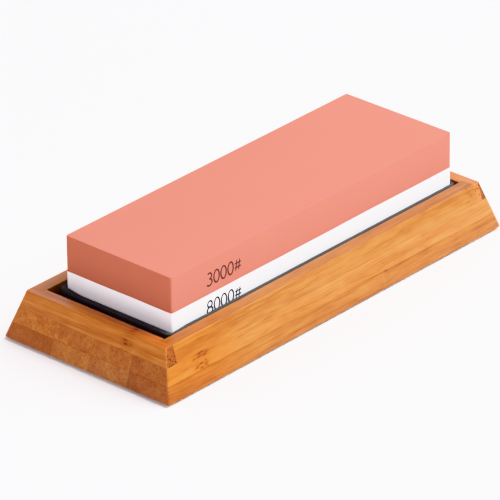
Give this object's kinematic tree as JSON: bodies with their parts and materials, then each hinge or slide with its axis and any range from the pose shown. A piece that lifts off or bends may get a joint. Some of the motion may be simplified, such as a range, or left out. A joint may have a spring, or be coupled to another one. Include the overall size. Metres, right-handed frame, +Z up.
{
  "type": "sharpening whetstone",
  "caption": "Two-layer rectangular water stone with a coarse and a fine grit face, in a lipped rubber tray in the recess of a laminated bamboo bench base with sloping sides.",
  "frame": {"origin": "middle of the ground that the four feet stand on, under the centre of the bamboo base", "axes": "+X along the stone towards the end of the recess that the tray is pushed against, +Z up; the side with the printed grit numbers faces -Y"},
  "size_m": [0.2156, 0.0944, 0.0468],
  "materials": {
    "coarse_stone": "matte, fine grained, salmon pink",
    "fine_stone": "matte, very fine grained, white",
    "tray_rubber": "satin black moulded rubber",
    "bamboo_rail": "satin clear lacquer on caramel bamboo",
    "bamboo_strip": "satin clear lacquer on caramel bamboo",
    "foot_rubber": "matte black rubber"
  },
  "bodies": {
    "base": {"end_rail_left": "bamboo_rail", "end_rail_right": "bamboo_rail", "side_rail_front": "bamboo_rail", "side_rail_back": "bamboo_rail", "upper_ply_strip_1": "bamboo_strip", "upper_ply_strip_2": "bamboo_strip", "upper_ply_strip_3": "bamboo_strip", "upper_ply_strip_4": "bamboo_strip", "lower_ply_strip_1": "bamboo_strip", "lower_ply_strip_2": "bamboo_strip", "lower_ply_strip_3": "bamboo_strip", "lower_ply_strip_4": "bamboo_strip", "foot_front_left": "foot_rubber", "foot_front_right": "foot_rubber", "foot_back_left": "foot_rubber", "foot_back_right": "foot_rubber"},
    "tray": {"rubber_tray": "tray_rubber"},
    "stone": {"stone_coarse_layer": "coarse_stone", "stone_fine_layer": "fine_stone"}
  },
  "joints": [
    {"name": "tray_lift", "type": "slide", "parent": "base", "child": "tray", "axis": [0, 0, 1], "range_m": [0, 0.03]},
    {"name": "stone_lift", "type": "slide", "parent": "tray", "child": "stone", "axis": [0, 0, 1], "range_m": [0, 0.05]}
  ]
}
